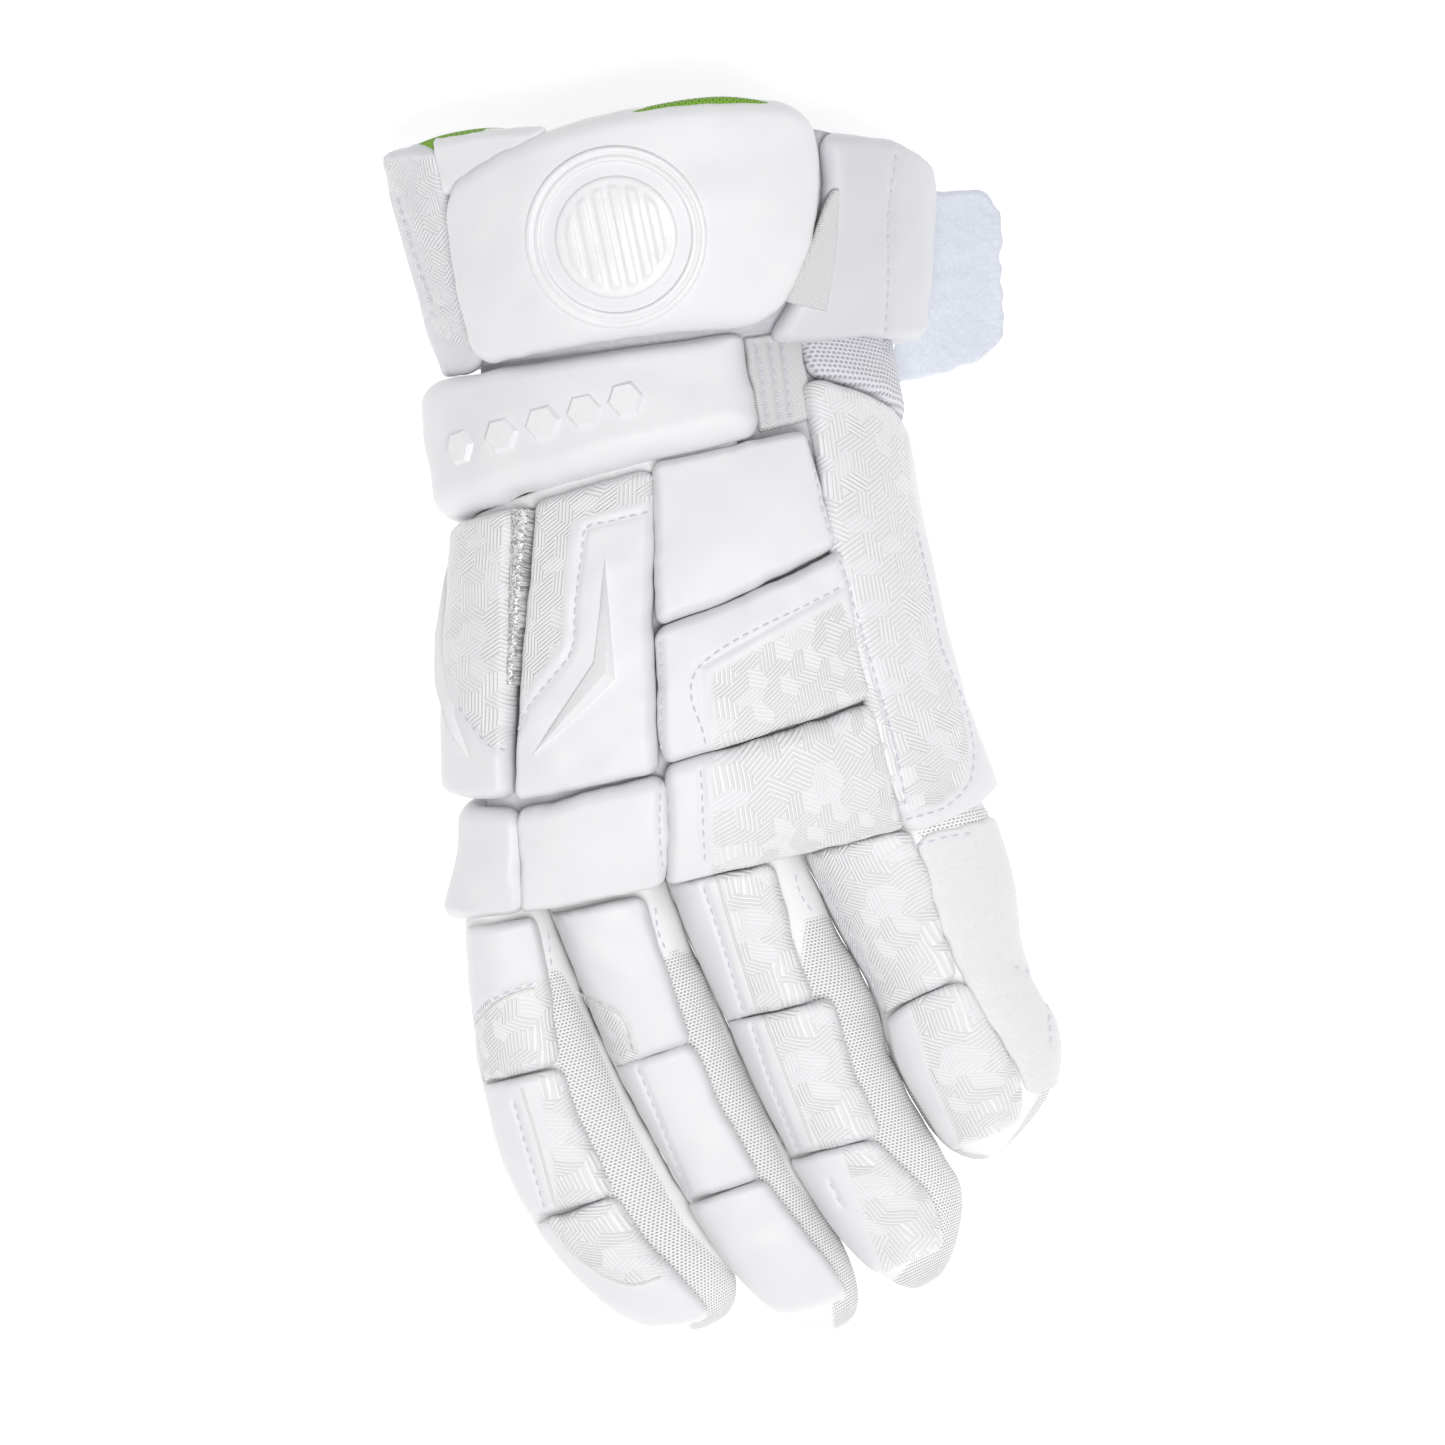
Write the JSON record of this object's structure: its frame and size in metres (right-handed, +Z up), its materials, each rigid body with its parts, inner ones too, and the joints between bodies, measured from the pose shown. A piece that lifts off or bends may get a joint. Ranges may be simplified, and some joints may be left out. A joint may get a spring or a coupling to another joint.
{
  "type": "lacrosse glove",
  "caption": "White left-hand lacrosse glove with padded hand and fingers, wrist strap and padded cuff, lying palm down.",
  "frame": {"origin": "middle of the glove's footprint, on the surface it lies on", "axes": "+Y along the hand towards the cuff, +Z up out of the back of the hand, +X towards the little finger"},
  "size_m": [0.184, 0.3302, 0.092],
  "materials": {
    "pad_leather": "smooth matte white synthetic leather",
    "finger_knit": "light grey open knit mesh",
    "silver_webbing": "silver grey woven elastic",
    "cuff_knit": "pale grey knit",
    "lining_knit": "pale grey lining fabric",
    "green_trim": "lime green knit edge",
    "palm_suede": "white suede",
    "loop_tape": "bluish white brushed loop tape",
    "raised_rubber": "smooth white moulded rubber"
  },
  "bodies": {
    "root": {"cuff_lining": "lining_knit", "hand_shell": "pad_leather", "thumb_sleeve": "palm_suede", "finger_sleeve_index": "finger_knit", "finger_sleeve_middle": "finger_knit", "finger_sleeve_ring": "finger_knit", "finger_sleeve_little": "finger_knit", "hand_pad_index_outer": "pad_leather", "hand_pad_index_inner": "pad_leather", "hand_pad_index_low_outer": "pad_leather", "hand_pad_index_low_inner": "pad_leather", "hand_pad_upper": "pad_leather", "hand_pad_middle": "pad_leather", "hand_pad_lower": "pad_leather", "hand_pad_side": "pad_leather", "finger_pad_index_1": "pad_leather", "finger_pad_index_2": "pad_leather", "finger_pad_index_3": "pad_leather", "finger_pad_middle_1": "pad_leather", "finger_pad_middle_2": "pad_leather", "finger_pad_middle_3": "pad_leather", "finger_pad_ring_1": "pad_leather", "finger_pad_ring_2": "pad_leather", "finger_pad_ring_3": "pad_leather", "finger_pad_little_1": "pad_leather", "finger_pad_little_2": "pad_leather", "finger_side_suede": "palm_suede", "thumb_pad_base": "pad_leather", "thumb_pad_tip": "pad_leather", "wrist_strap_pad": "pad_leather", "wrist_strap_webbing": "silver_webbing", "wrist_knit_band": "cuff_knit", "cuff_plate": "pad_leather", "cuff_wing": "pad_leather", "cuff_wing_crest": "pad_leather", "cuff_flap": "pad_leather", "lining_trim_wing": "green_trim", "lining_trim_plate": "green_trim", "hand_vent_strip": "silver_webbing", "hand_ridge_inner": "raised_rubber", "hand_ridge_outer": "raised_rubber", "cuff_elastic": "silver_webbing", "badge_ring": "raised_rubber", "badge_disc": "raised_rubber", "fastener_tape": "loop_tape"}
  },
  "joints": []
}
